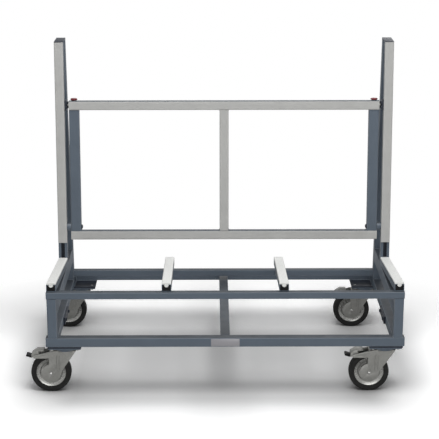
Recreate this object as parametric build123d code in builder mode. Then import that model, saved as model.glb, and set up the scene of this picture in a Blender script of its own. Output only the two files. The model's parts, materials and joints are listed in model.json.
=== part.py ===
from build123d import *
import os
from math import cos, radians, sin, tan

os.makedirs("parts", exist_ok=True)

# Slab trolley: a welded tube base on four braked swivel casters, four sloping
# supports, two leaning uprights and a folding back frame between them.
# Millimetres, +X along the trolley, +Y to its back, +Z up, floor at Z = 0.

# Base frame
frame_length = 1490
frame_depth = 890
rail = 40
rail_wall = 3
small_rail = 30
small_rail_wall = 2.5
tube_corner = 4
front_post_height = 173
cross_rail_drop = 106
side_rail_height = 60
end_cap = 9
small_end_cap = 2
cap_plug = 12
cap_clearance = 0.2

# Lean of the slab, and where its lower back edge sits
lean = 6
seat_depth = 500.7

# Slotted channel and the strip that is pushed into it
channel_width = 40
channel_depth = 30
channel_wall = 2.5
channel_corner = 2
channel_slot = 16
strip_proud = 6
strip_edge = 3
strip_foot = 9.5
strip_clearance = 0.3

# Supports
mid_support_x = 245
support_front = 10
mid_support_extra = 14
plug_length = 10
stay_size = 20
stay_x = 252
stay_start = 20

# Uprights
upright_top = 1408.5
cap_thickness = 3
rear_post_gap = 38
rear_post_lean = 3.5
upright_strip_start = 69.5

# Back frame
back_side_clearance = 19
side_tube_width = 45
back_lower_height = 104
back_top_height = 687
pivot_height = 140
pivot_radius = 7
pivot_boss = 18
pivot_past = 5
side_gap = 0.5
running_fit = 0.05

# Lock bolts in the ends of the top bar
bolt_radius = 5
bolt_reach = 7
bolt_length = 65
bolt_travel = 11
bolt_seat = 27.25
guide_plate = 4
guide_inset = 35
stem_radius = 3.5
knob_offset = 21.5
knob_radius = 16
knob_height = 9
knob_round = 6
knob_gap = 1.5
slot_clearance = 0.5

# Latch plates on the uprights
latch_plate = 6
latch_height = 44
latch_width = 40
latch_inset = 4
stop_gap = 0.6
stop_length = 50
stop_height = 30
latch_hole = 6.5

# Bolts of the latch and side plates
bracket_bolt_radius = 4
bracket_head = 7.5
bracket_head_height = 5
latch_bolt_inset = 10
latch_bolt_spacing = 18

# Side plates on the lower side rails
side_plate_start = 254
side_plate_length = 146
side_plate_height = 34
side_plate_thickness = 8
side_bolt_inset = 21

# Label
label_length = 120
label_height = 34
label_thickness = 1.2

# Casters
caster_side_inset = 67.5
caster_inset = 66
trail = 64
wheel_radius = 85.5
rim_radius = 62.5
tyre_width = 40
tyre_shoulder = 5
hub_radius = 20
hub_length = 46
web_half = 7
rim_half = 17
rim_wall = 5
rim_dish = 18
axle_radius = 6
axle_head = 6.5
axle_head_height = 4
hub_gap = 0.5
fork_plate = 5
axle_boss = 41.5
leg_back = 7
fork_front = 45.3
fork_knee = 58
fork_knee_height = 28
crown_radius = 42
crown_thickness = 6
kingpin_radius = 8
kingpin_head_radius = 14
kingpin_head_height = 8.4
tyre_gap = 3.5
swivel_gap = 0.3
race_radius = 30
race_height = 17
caster_plate_length = 138
caster_plate_width = 120
caster_plate_thickness = 7
mount_plate_length = 142
mount_plate_width = 130
mount_plate_thickness = 7
plate_bolt_radius = 5
plate_bolt_head = 9
plate_bolt_head_height = 8
plate_bolt_spacing_x = 105
plate_bolt_spacing_y = 80
plate_corner = 6

# Brake shield on the fork and the pedal in it
shield_reach = 72
shield_below = 16.5
shield_drop = 21
shield_slope_start = 40
pedal_pivot_back = 50
pedal_pivot_drop = 25.2
pedal_pin_radius = 4
pedal_half_width = 21
pedal_sheet = 4
pedal_boss = 6
pedal_inner = 22
pedal_rise = 24
pedal_bend = 7
pedal_shoulder = 30
pedal_shoulder_rise = 9
pedal_arm = 31.5
pedal_arm_drop = 6.5
pad_half_width = 17
pad_length = 24
pad_height = 9
pad_tilt = 18
pad_round = 3

# Heights that follow from the wheel up
axle_height = wheel_radius
kingpin_end = 2 * wheel_radius + tyre_gap
crown_bottom = kingpin_end + kingpin_head_height + swivel_gap
crown_top = crown_bottom + crown_thickness
race_bottom = crown_top + swivel_gap
caster_plate_bottom = race_bottom + race_height
mount_plate_bottom = caster_plate_bottom + caster_plate_thickness
frame_bottom = mount_plate_bottom + mount_plate_thickness
rail_top = frame_bottom + rail
front_post_top = rail_top + front_post_height
upper_rail_top = front_post_top + small_rail

# Widths that follow from the frame
half_frame = frame_length / 2
side_x = half_frame - rail / 2
inner_x = half_frame - rail
outer_support_x = half_frame - channel_width / 2
back_half_width = inner_x - back_side_clearance
caster_x = half_frame - caster_side_inset

# Pedal pad, seen from the side, behind the swivel axis
pedal_pivot_x = -trail - pedal_pivot_back
pedal_pivot_z = crown_top - pedal_pivot_drop
pad_root_x = pedal_pivot_x - pedal_arm
pad_root_z = pedal_pivot_z - pedal_arm_drop
pad_centre_x = pad_root_x - pad_length / 2 * cos(radians(pad_tilt))
pad_flat = pad_length / 2 - pad_round
pad_side = pad_height / 2 - pad_round
pad_reach = pad_round + pad_flat * cos(radians(pad_tilt)) + pad_side * sin(radians(pad_tilt))

# The origin is on the floor, under the middle of the whole trolley
left_reach = max(caster_x - pad_centre_x + pad_reach, half_frame + end_cap)
right_reach = max(caster_x + mount_plate_length / 2, half_frame + end_cap)
centre_x = (left_reach - right_reach) / 2
front_y = (label_thickness - frame_depth) / 2


def at(x, y, z):
    return (centre_x + x, front_y + y, z)


# Directions of the leaning slab: back along the supports, and up along the uprights
lean_sin = sin(radians(lean))
lean_cos = cos(radians(lean))
back_dir = (0, lean_cos, -lean_sin)
up_dir = (0, lean_sin, lean_cos)
down_dir = (0, -lean_sin, -lean_cos)

# Inside of the slotted channel, and the middle of the strip's round foot
profile_depth = strip_proud + channel_depth
hollow_width = channel_width - 2 * channel_wall
hollow_depth = channel_depth - 2 * channel_wall
foot_centre = strip_proud + channel_wall + strip_clearance

# The supports lie on the rounded back edge of the front upper rail
touch_y = small_rail - tube_corner + tube_corner * lean_sin
touch_z = upper_rail_top - tube_corner + tube_corner * lean_cos
seat_along = touch_y * lean_sin + touch_z * lean_cos + profile_depth
seat_height = (seat_along - seat_depth * lean_sin) / lean_cos
seat = Plane(origin=at(0, seat_depth, seat_height), x_dir=(1, 0, 0), z_dir=up_dir)

# The rear posts lean forward, and their tops come up behind the tops of the uprights
strip_top_y = seat_depth + (upright_top - seat_height) * tan(radians(lean))
rear_post_y = strip_top_y + profile_depth / lean_cos + rear_post_gap
post_sin = sin(radians(rear_post_lean))
post_cos = cos(radians(rear_post_lean))
post_front = Plane(origin=at(0, rear_post_y, upright_top), x_dir=(1, 0, 0), z_dir=(0, post_cos, post_sin))
top_plane = Plane.XY.offset(upright_top)


# How far back the front of a rear post is at a height
def rear_post_at(z):
    return rear_post_y + (upright_top - z) * post_sin / post_cos


# A point given across the trolley, back along the supports and up along the uprights
def leaning(x, back, up):
    return seat.from_local_coords(Vector(x, back, up))


# Where the lower back corner of an outer support meets the upper side rail
foot = leaning(0, strip_proud, -profile_depth)
side_rail_top = foot.Z


def save(piece, name):
    piece.part.label = name
    export_step(piece.part, f"parts/{name}.step")


# Planes for what runs along X, back along Y, or up
def across(x, y, z):
    return Plane(origin=at(x, y, z), x_dir=(0, 1, 0), z_dir=(1, 0, 0))


def backward(x, y, z):
    return Plane(origin=at(x, y, z), x_dir=(1, 0, 0), z_dir=(0, 1, 0))


def upward(x, y, z):
    return Plane(origin=at(x, y, z), x_dir=(1, 0, 0), z_dir=(0, 0, 1))


# Planes for slotted channels, with local Y going into the channel from the strip's face
def along_support(x, back):
    return Plane(origin=leaning(x, back, 0), x_dir=(1, 0, 0), z_dir=back_dir)


def along_upright(x, up):
    return Plane(origin=leaning(x, 0, up), x_dir=(1, 0, 0), z_dir=up_dir)


def along_bar(x, up):
    return Plane(origin=leaning(x, 0, up), x_dir=down_dir, z_dir=(1, 0, 0))


def tube_face(width, height, wall):
    inner_corner = max(tube_corner - wall, wall / 4)
    with BuildSketch() as face:
        RectangleRounded(width, height, tube_corner)
        RectangleRounded(width - 2 * wall, height - 2 * wall, inner_corner, mode=Mode.SUBTRACT)
    return face.sketch


def channel_face():
    with BuildSketch() as face:
        with Locations((0, strip_proud + channel_depth / 2)):
            RectangleRounded(channel_width, channel_depth, channel_corner)
            Rectangle(hollow_width, hollow_depth, mode=Mode.SUBTRACT)
        with Locations((0, strip_proud)):
            Rectangle(channel_slot, 2 * channel_wall, mode=Mode.SUBTRACT)
    return face.sketch


def strip_face():
    half = channel_width / 2
    neck = channel_slot / 2 - strip_clearance
    flat = half - strip_edge
    with BuildSketch() as face:
        with BuildLine():
            Line((-neck, strip_proud), (-neck, foot_centre))
            Line((-neck, foot_centre), (-strip_foot, foot_centre))
            CenterArc((0, foot_centre), strip_foot, 0, 180)
            Line((strip_foot, foot_centre), (neck, foot_centre))
            Line((neck, foot_centre), (neck, strip_proud))
            Line((neck, strip_proud), (half, strip_proud))
            Line((half, strip_proud), (half, strip_edge))
            RadiusArc((half, strip_edge), (flat, 0), strip_edge)
            Line((flat, 0), (-flat, 0))
            RadiusArc((-flat, 0), (-half, strip_edge), strip_edge)
            Line((-half, strip_edge), (-half, strip_proud))
            Line((-half, strip_proud), (-neck, strip_proud))
        make_face()
    return face.sketch


rail_face = tube_face(rail, rail, rail_wall)
small_rail_face = tube_face(small_rail, small_rail, small_rail_wall)
side_tube_face = tube_face(side_tube_width, channel_depth, small_rail_wall)
slotted_face = channel_face()
pad_strip_face = strip_face()

# Lower base frame
with BuildPart() as front_lower_rail:
    with BuildSketch(across(-half_frame, rail / 2, frame_bottom + rail / 2)):
        add(rail_face)
    extrude(amount=frame_length)
save(front_lower_rail, "front_lower_rail")

with BuildPart() as rear_lower_rail:
    with BuildSketch(across(-half_frame, frame_depth - rail / 2, frame_bottom + rail / 2)):
        add(rail_face)
    extrude(amount=frame_length)
save(rear_lower_rail, "rear_lower_rail")

for name, x in (("side_rail_left", -side_x), ("center_rail", 0), ("side_rail_right", side_x)):
    with BuildPart() as long_rail:
        with BuildSketch(backward(x, rail, frame_bottom + rail / 2)):
            add(rail_face)
        extrude(amount=frame_depth - 2 * rail)
    save(long_rail, name)

# Front posts and the smaller rail on top of them
with BuildPart() as front_posts:
    with BuildSketch(upward(0, rail / 2, rail_top)):
        with Locations((-side_x, 0), (side_x, 0)):
            add(rail_face)
    extrude(amount=front_post_height)
save(front_posts, "front_posts")

with BuildPart() as front_upper_rail:
    with BuildSketch(across(-half_frame, small_rail / 2, front_post_top + small_rail / 2)):
        add(small_rail_face)
    extrude(amount=frame_length)
save(front_upper_rail, "front_upper_rail")

# Upper side rails, from the front posts to the rear posts
with BuildPart() as upper_side_rails:
    with BuildSketch(backward(0, rail, side_rail_top - side_rail_height / 2)):
        with Locations((-side_x, 0), (side_x, 0)):
            add(tube_face(rail, side_rail_height, rail_wall))
    extrude(amount=rear_post_at(side_rail_top - side_rail_height))
    split(bisect_by=post_front, keep=Keep.BOTTOM)
save(upper_side_rails, "upper_side_rails")

# Rear posts, and the small rail between them
post_start = at(0, rear_post_at(frame_bottom), frame_bottom)
with BuildPart() as rear_posts:
    with BuildSketch(Plane(origin=post_start, x_dir=(1, 0, 0), z_dir=(0, -post_sin, post_cos))):
        with Locations((-side_x, rail / 2), (side_x, rail / 2)):
            add(rail_face)
    extrude(amount=upright_top)
    split(bisect_by=Plane.XY.offset(rail_top), keep=Keep.TOP)
    split(bisect_by=top_plane, keep=Keep.BOTTOM)
save(rear_posts, "rear_posts")

cross_rail_top = side_rail_top - cross_rail_drop
cross_rail_y = rear_post_at(cross_rail_top - small_rail / 2)
with BuildPart() as rear_cross_rail:
    with BuildSketch(across(-inner_x, cross_rail_y + small_rail / 2, cross_rail_top - small_rail / 2)):
        add(small_rail_face)
    extrude(amount=2 * inner_x)
save(rear_cross_rail, "rear_cross_rail")

# Leaning channels of the uprights, cut level at the foot and at the top
foot_plane = Plane.XY.offset(side_rail_top)
upright_start = -2 * profile_depth
upright_length = upright_top - side_rail_top + 4 * profile_depth
for hand, side in (("left", -1), ("right", 1)):
    with BuildPart() as upright_channel:
        with BuildSketch(along_upright(side * outer_support_x, upright_start)):
            add(slotted_face)
        extrude(amount=upright_length)
        split(bisect_by=foot_plane, keep=Keep.TOP)
        split(bisect_by=top_plane, keep=Keep.BOTTOM)
    save(upright_channel, f"upright_channel_{hand}")

with BuildPart() as upright_strips:
    for side in (-1, 1):
        with BuildSketch(along_upright(side * outer_support_x, upright_strip_start)):
            add(pad_strip_face)
        extrude(amount=upright_length)
    split(bisect_by=top_plane, keep=Keep.BOTTOM)
save(upright_strips, "upright_strips")

# Flat plates that close the uprights and join channel and rear post
cap_depth = rear_post_y + rail - strip_top_y
with BuildPart() as upright_caps:
    with BuildSketch(upward(0, strip_top_y + cap_depth / 2, upright_top)):
        with Locations((-outer_support_x, 0), (outer_support_x, 0)):
            RectangleRounded(channel_width, cap_depth, channel_corner)
    extrude(amount=cap_thickness)
save(upright_caps, "upright_caps")

# Four supports: channel, pushed-in strip and a plug in the front end
support_start = (support_front - seat_depth + profile_depth * lean_sin) / lean_cos
mid_end = strip_proud + mid_support_extra
supports = (
    (-outer_support_x, strip_proud),
    (-mid_support_x, mid_end),
    (mid_support_x, mid_end),
    (outer_support_x, strip_proud),
)
with BuildPart() as support_channels:
    for x, end in supports:
        with BuildSketch(along_support(x, support_start)):
            add(slotted_face)
        extrude(amount=end - support_start)
save(support_channels, "support_channels")

with BuildPart() as support_strips:
    for x, end in supports:
        with BuildSketch(along_support(x, support_start)):
            add(pad_strip_face)
        extrude(amount=end - support_start)
save(support_strips, "support_strips")

with BuildPart() as support_plugs:
    for x, end in supports:
        with BuildSketch(along_support(x, support_start)):
            with Locations((0, strip_proud + channel_depth / 2)):
                Rectangle(hollow_width - 2 * cap_clearance, hollow_depth - 2 * cap_clearance)
            with Locations((0, foot_centre)):
                Circle(strip_foot + strip_clearance, mode=Mode.SUBTRACT)
        extrude(amount=plug_length)
save(support_plugs, "support_plugs")

# Stays that carry the back ends of the two middle supports
stay_top = leaning(0, -stay_start, -profile_depth)
stay_foot = Vector(*at(0, cross_rail_y, cross_rail_top - small_rail / 2))
stay_run = Vector(0, stay_foot.Y - stay_top.Y, stay_foot.Z - stay_top.Z)
stay_dir = stay_run.normalized()
under_support = Plane(origin=leaning(0, 0, -profile_depth), x_dir=(1, 0, 0), z_dir=up_dir)
cross_rail_face = backward(0, cross_rail_y, 0)
with BuildPart() as support_stays:
    for side in (-1, 1):
        start = Vector(side * stay_x + centre_x, stay_top.Y, stay_top.Z) - stay_dir * 2 * stay_size
        with BuildSketch(Plane(origin=start, x_dir=(1, 0, 0), z_dir=stay_dir)):
            Rectangle(stay_size, stay_size)
        extrude(amount=stay_run.length + 4 * stay_size)
    split(bisect_by=under_support, keep=Keep.BOTTOM)
    split(bisect_by=cross_rail_face, keep=Keep.BOTTOM)
save(support_stays, "support_stays")

# Plastic caps in the open rail ends
with BuildPart() as rail_end_caps:
    ends = (
        (rail / 2, frame_bottom + rail / 2, rail, rail_wall, end_cap),
        (frame_depth - rail / 2, frame_bottom + rail / 2, rail, rail_wall, end_cap),
        (small_rail / 2, front_post_top + small_rail / 2, small_rail, small_rail_wall, small_end_cap),
    )
    for y, z, size, wall, reach in ends:
        plug = size - 2 * wall - 2 * cap_clearance
        for side in (-1, 1):
            with BuildSketch(across(side * half_frame, y, z)):
                RectangleRounded(size, size, tube_corner)
            extrude(amount=side * reach)
            with BuildSketch(across(side * half_frame, y, z)):
                RectangleRounded(plug, plug, wall / 2)
            extrude(amount=-side * cap_plug)
save(rail_end_caps, "rail_end_caps")

# Plates bolted to the inner faces of the lower side rails
side_plate_centre = side_plate_start + side_plate_length / 2
side_bolt_span = side_plate_length - 2 * side_bolt_inset
side_plate_places = [(-side_bolt_span / 2, 0), (side_bolt_span / 2, 0)]
with BuildPart() as side_plates:
    for side in (-1, 1):
        with BuildSketch(across(side * inner_x, side_plate_centre, frame_bottom + rail / 2)):
            RectangleRounded(side_plate_length, side_plate_height, channel_corner)
            with Locations(*side_plate_places):
                Circle(bracket_bolt_radius + running_fit, mode=Mode.SUBTRACT)
        extrude(amount=-side * side_plate_thickness)
save(side_plates, "side_plates")

# Blank label plate on the front rail
with BuildPart() as label_plate:
    with BuildSketch(backward(0, -label_thickness, frame_bottom + rail / 2)):
        RectangleRounded(label_length, label_height, channel_corner)
    extrude(amount=label_thickness)
save(label_plate, "label_plate")


# Planes on the inner face of an upright, with local X going back and local Y up
def upright_side(x, back, up):
    return Plane(origin=leaning(x, back, up), x_dir=back_dir, z_dir=(1, 0, 0))


channel_middle = strip_proud + channel_depth / 2
channel_back = strip_proud + channel_depth

# Latch plates at the height of the top bar, each with a stop behind the bar
latch_centre = latch_inset + latch_width / 2
stop_depth = latch_inset + latch_width - channel_back - stop_gap
stop_middle = channel_back + stop_gap + stop_depth / 2
latch_bolt_places = [(0, -latch_bolt_spacing / 2), (0, latch_bolt_spacing / 2)]
with BuildPart() as latch_plates:
    for side in (-1, 1):
        with BuildSketch(upright_side(side * inner_x, latch_centre, back_top_height)):
            Rectangle(latch_width, latch_height)
            with Locations((bolt_seat - latch_centre, 0)):
                Circle(latch_hole, mode=Mode.SUBTRACT)
            with Locations((latch_bolt_inset - latch_centre, 0)):
                with Locations(*latch_bolt_places):
                    Circle(bracket_bolt_radius + running_fit, mode=Mode.SUBTRACT)
        extrude(amount=-side * latch_plate)
        with BuildSketch(upright_side(side * inner_x, stop_middle, back_top_height)):
            Rectangle(stop_depth, stop_height)
        extrude(amount=-side * stop_length)
save(latch_plates, "latch_plates")

# Bolts of the side plates and of the latch plates
with BuildPart() as bracket_bolts:
    for side in (-1, 1):
        side_seat = across(side * inner_x, side_plate_centre, frame_bottom + rail / 2)
        latch_seat = upright_side(side * inner_x, latch_bolt_inset, back_top_height)
        for place, points, grip in (
            (side_seat, side_plate_places, side_plate_thickness),
            (latch_seat, latch_bolt_places, latch_plate),
        ):
            with BuildSketch(place):
                with Locations(*points):
                    Circle(bracket_bolt_radius)
            extrude(amount=-side * grip)
            with BuildSketch(place.offset(-side * grip)):
                with Locations(*points):
                    RegularPolygon(bracket_head, 6)
            extrude(amount=-side * bracket_head_height)
save(bracket_bolts, "bracket_bolts")

# Pivot lugs on the uprights, each a round boss with a pin for the back frame
with BuildPart() as pivot_lugs:
    for side in (-1, 1):
        with BuildSketch(upright_side(side * inner_x, channel_middle, pivot_height)):
            Circle(pivot_boss)
        extrude(amount=-side * (inner_x - back_half_width - side_gap))
        with BuildSketch(upright_side(side * inner_x, channel_middle, pivot_height)):
            Circle(pivot_radius)
        extrude(amount=-side * (inner_x - back_half_width + side_tube_width + pivot_past))
save(pivot_lugs, "pivot_lugs")

# Back frame: side tubes on the lower bar, with holes for the pins
side_tube_x = back_half_width - side_tube_width / 2
side_tube_start = back_lower_height + channel_width / 2
side_tube_end = back_top_height - channel_width / 2
side_tube_place = Plane(origin=leaning(0, channel_middle, side_tube_start), x_dir=(1, 0, 0), z_dir=up_dir)
with BuildPart() as back_side_tubes:
    with BuildSketch(side_tube_place):
        with Locations((-side_tube_x, 0), (side_tube_x, 0)):
            add(side_tube_face)
    extrude(amount=side_tube_end - side_tube_start)
    with BuildSketch(upright_side(0, channel_middle, pivot_height)):
        Circle(pivot_radius + running_fit)
    extrude(amount=back_half_width, both=True, mode=Mode.SUBTRACT)
save(back_side_tubes, "back_side_tubes")

with BuildPart() as back_lower_bar:
    with BuildSketch(along_bar(-back_half_width, back_lower_height)):
        add(slotted_face)
    extrude(amount=2 * back_half_width)
save(back_lower_bar, "back_lower_bar")

with BuildPart() as back_center_bar:
    with BuildSketch(along_upright(0, side_tube_start)):
        add(slotted_face)
    extrude(amount=side_tube_end - side_tube_start)
save(back_center_bar, "back_center_bar")

# Top bar with guide plates for the lock bolts and slots for their knobs
bolt_out = back_half_width + bolt_reach
knob_x = back_half_width - knob_offset
guide_front = foot_centre + strip_foot + strip_clearance
guide_back = channel_back - channel_wall
guide_depth = guide_back - guide_front
guide_middle = (guide_front + guide_back) / 2
knob_slot_x = knob_x + bolt_travel / 2
knob_slot_half = bolt_travel / 2 + stem_radius + slot_clearance
with BuildPart() as back_top_bar:
    with BuildSketch(along_bar(-back_half_width, back_top_height)):
        add(slotted_face)
    extrude(amount=2 * back_half_width)
    for side in (-1, 1):
        for guide_x in (back_half_width, back_half_width - guide_inset):
            with BuildSketch(upright_side(side * guide_x, guide_middle, back_top_height)):
                Rectangle(guide_depth, hollow_width)
            extrude(amount=-side * guide_plate)
        with BuildSketch(upright_side(side * back_half_width, bolt_seat, back_top_height)):
            Circle(bolt_radius + running_fit)
        extrude(amount=-side * bolt_length, mode=Mode.SUBTRACT)
        slot_place = Plane(
            origin=leaning(side * knob_slot_x, bolt_seat, back_top_height), x_dir=(1, 0, 0), z_dir=up_dir
        )
        with BuildSketch(slot_place):
            SlotOverall(2 * knob_slot_half, 2 * (stem_radius + slot_clearance))
        extrude(amount=channel_width, mode=Mode.SUBTRACT)
save(back_top_bar, "back_top_bar")

# Strips of the back frame
with BuildPart() as back_strips:
    for height in (back_lower_height, back_top_height):
        with BuildSketch(along_bar(-back_half_width, height)):
            add(pad_strip_face)
        extrude(amount=2 * back_half_width)
    with BuildSketch(along_upright(0, side_tube_start + strip_clearance)):
        add(pad_strip_face)
    extrude(amount=side_tube_end - side_tube_start - 2 * strip_clearance)
save(back_strips, "back_strips")

# Lock bolts with a stem up through the bar, and their knobs
stem_top = channel_width / 2 + knob_gap
for hand, side in (("left", -1), ("right", 1)):
    stem_foot = leaning(side * knob_x, bolt_seat, back_top_height)
    stem_place = Plane(origin=stem_foot, x_dir=(1, 0, 0), z_dir=up_dir)
    with BuildPart() as lock_bolt:
        with BuildSketch(upright_side(side * bolt_out, bolt_seat, back_top_height)):
            Circle(bolt_radius)
        extrude(amount=-side * bolt_length)
        with BuildSketch(stem_place):
            Circle(stem_radius)
        extrude(amount=stem_top)
    save(lock_bolt, f"lock_bolt_{hand}")

    with BuildPart() as lock_knob:
        with BuildSketch(stem_place.offset(stem_top)):
            Circle(knob_radius)
        extrude(amount=knob_height)
        fillet(lock_knob.faces().sort_by(Axis.Z)[-1].edges(), knob_round)
    save(lock_knob, f"lock_knob_{hand}")

# Caster mounting plates and what is bolted to them
caster_places = {
    "front_left": (-caster_x, caster_inset),
    "front_right": (caster_x, caster_inset),
    "rear_left": (-caster_x, frame_depth - caster_inset),
    "rear_right": (caster_x, frame_depth - caster_inset),
}
plate_bolt_hole = plate_bolt_radius + running_fit

with BuildPart() as mounting_plates:
    for x, y in caster_places.values():
        with BuildSketch(upward(x, y, mount_plate_bottom)):
            RectangleRounded(mount_plate_length, mount_plate_width, plate_corner)
            with GridLocations(plate_bolt_spacing_x, plate_bolt_spacing_y, 2, 2):
                Circle(plate_bolt_hole, mode=Mode.SUBTRACT)
        extrude(amount=mount_plate_thickness)
save(mounting_plates, "mounting_plates")

with BuildPart() as caster_plates:
    for x, y in caster_places.values():
        with BuildSketch(upward(x, y, caster_plate_bottom)):
            RectangleRounded(caster_plate_length, caster_plate_width, plate_corner)
            with GridLocations(plate_bolt_spacing_x, plate_bolt_spacing_y, 2, 2):
                Circle(plate_bolt_hole, mode=Mode.SUBTRACT)
        extrude(amount=caster_plate_thickness)
        with BuildSketch(upward(x, y, race_bottom)):
            Circle(race_radius)
        extrude(amount=race_height)
        with BuildSketch(upward(x, y, kingpin_end)):
            Circle(kingpin_radius)
        extrude(amount=race_bottom - kingpin_end)
        with BuildSketch(upward(x, y, kingpin_end)):
            Circle(kingpin_head_radius)
        extrude(amount=kingpin_head_height)
save(caster_plates, "caster_plates")

with BuildPart() as plate_bolts:
    for x, y in caster_places.values():
        with BuildSketch(upward(x, y, caster_plate_bottom)):
            with GridLocations(plate_bolt_spacing_x, plate_bolt_spacing_y, 2, 2):
                Circle(plate_bolt_radius)
        extrude(amount=frame_bottom - caster_plate_bottom)
        with BuildSketch(upward(x, y, caster_plate_bottom)):
            with GridLocations(plate_bolt_spacing_x, plate_bolt_spacing_y, 2, 2):
                RegularPolygon(plate_bolt_head, 6)
        extrude(amount=-plate_bolt_head_height)
save(plate_bolts, "plate_bolts")

# Moving parts of the casters, all four trailing to the left
fork_inner = hub_length / 2 + hub_gap
fork_outer = fork_inner + fork_plate
shield_low = 2 * wheel_radius - shield_below
shield_high = crown_top - shield_drop
shield_end = -trail - shield_reach
knee = (-trail + fork_knee, axle_height + fork_knee_height)
axle_half = fork_outer + axle_head_height
for place, (x, y) in caster_places.items():
    side_view = Plane(origin=at(x, y, 0), x_dir=(1, 0, 0), z_dir=(0, -1, 0))

    with BuildPart() as fork:
        with BuildSketch(side_view):
            with BuildLine():
                Polyline(
                    (fork_front, crown_top),
                    knee,
                    (-trail + axle_boss, axle_height),
                    (-trail - leg_back, axle_height),
                    (-trail - leg_back, shield_low),
                    (shield_end, shield_low),
                    (shield_end, shield_high),
                    (-shield_slope_start, crown_top),
                    close=True,
                )
            make_face()
            with Locations((-trail, axle_height)):
                Circle(axle_boss)
        extrude(amount=fork_outer, both=True)
        with BuildSketch(side_view):
            with Locations((-trail, crown_bottom)):
                Rectangle(4 * wheel_radius, 4 * wheel_radius, align=(Align.CENTER, Align.MAX))
        extrude(amount=fork_inner, both=True, mode=Mode.SUBTRACT)
        with BuildSketch(upward(x, y, crown_bottom)):
            Circle(crown_radius)
        extrude(amount=crown_thickness)
        with BuildSketch(upward(x, y, crown_bottom)):
            Circle(kingpin_radius + running_fit)
        extrude(amount=crown_thickness, mode=Mode.SUBTRACT)
        with BuildSketch(side_view):
            with Locations((-trail, axle_height)):
                Circle(axle_radius + running_fit)
            with Locations((pedal_pivot_x, pedal_pivot_z)):
                Circle(pedal_pin_radius + running_fit)
        extrude(amount=2 * fork_outer, both=True, mode=Mode.SUBTRACT)
    save(fork, f"fork_{place}")

    with BuildPart() as axle:
        with BuildSketch(side_view):
            with Locations((-trail, axle_height)):
                Circle(axle_radius)
        extrude(amount=axle_half, both=True)
        for side in (-1, 1):
            with BuildSketch(side_view.offset(side * fork_outer)):
                with Locations((-trail, axle_height)):
                    RegularPolygon(axle_head, 6)
            extrude(amount=side * axle_head_height)
    save(axle, f"axle_{place}")

    # Half profiles from the axle outwards: local X is the radius, local Y goes across the wheel
    wheel_section = Plane(origin=at(x - trail, y, axle_height), x_dir=(1, 0, 0), z_dir=(0, 0, 1))
    wheel_axis = Axis(origin=at(x - trail, y, axle_height), direction=(0, 1, 0))
    bore = axle_radius + running_fit
    with BuildPart() as wheel_rim:
        with BuildSketch(wheel_section):
            with BuildLine():
                Polyline(
                    (bore, 0),
                    (bore, hub_length / 2),
                    (hub_radius, hub_length / 2),
                    (hub_radius, web_half),
                    (rim_radius - rim_dish, web_half),
                    (rim_radius - rim_wall, rim_half),
                    (rim_radius, rim_half),
                    (rim_radius, 0),
                    close=True,
                )
            make_face()
            mirror(about=Plane.XZ)
        revolve(axis=wheel_axis)
    save(wheel_rim, f"wheel_rim_{place}")

    with BuildPart() as tyre:
        with BuildSketch(wheel_section):
            with BuildLine():
                Polyline(
                    (rim_radius, 0),
                    (rim_radius, tyre_width / 2 - tyre_shoulder / 2),
                    (rim_radius + tyre_shoulder, tyre_width / 2),
                    (wheel_radius - tyre_shoulder, tyre_width / 2),
                )
                RadiusArc(
                    (wheel_radius - tyre_shoulder, tyre_width / 2),
                    (wheel_radius, tyre_width / 2 - tyre_shoulder),
                    tyre_shoulder,
                )
                Polyline((wheel_radius, tyre_width / 2 - tyre_shoulder), (wheel_radius, 0), (rim_radius, 0))
            make_face()
            mirror(about=Plane.XZ)
        revolve(axis=wheel_axis)
    save(tyre, f"tyre_{place}")

    # Pedal: a bent sheet on a pin across the shield, with a pad on its end
    pad_slope = Plane(
        origin=at(x + pad_root_x, y, pad_root_z),
        x_dir=(-cos(radians(pad_tilt)), 0, sin(radians(pad_tilt))),
        z_dir=(0, -1, 0),
    )
    pedal_top = pedal_pivot_z + pedal_rise
    inner_x_end = pedal_pivot_x + pedal_inner
    root_back = pedal_sheet / 2 * sin(radians(pad_tilt))
    root_up = pedal_sheet / 2 * cos(radians(pad_tilt))
    with BuildPart() as brake_pedal:
        with BuildSketch(side_view):
            with BuildLine():
                Polyline(
                    (inner_x_end, pedal_top),
                    (pedal_pivot_x - pedal_bend, pedal_top),
                    (pedal_pivot_x - pedal_shoulder, pedal_pivot_z + pedal_shoulder_rise),
                    (pad_root_x + root_back, pad_root_z + root_up),
                    (pad_root_x - root_back, pad_root_z - root_up),
                    (pedal_pivot_x, pedal_pivot_z - pedal_boss / 2),
                    (pedal_pivot_x, pedal_top - pedal_sheet),
                    (inner_x_end, pedal_top - pedal_sheet),
                    close=True,
                )
            make_face()
            with Locations((pedal_pivot_x, pedal_pivot_z)):
                Circle(pedal_boss)
        extrude(amount=pedal_half_width, both=True)
        with BuildSketch(side_view):
            with Locations((pedal_pivot_x, pedal_pivot_z)):
                Circle(pedal_pin_radius)
        extrude(amount=fork_outer, both=True)
    save(brake_pedal, f"brake_pedal_{place}")

    with BuildPart() as pedal_pad:
        with BuildSketch(pad_slope):
            with Locations((pad_length / 2, 0)):
                RectangleRounded(pad_length, pad_height, pad_round)
        extrude(amount=pad_half_width, both=True)
    save(pedal_pad, f"pedal_pad_{place}")
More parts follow.
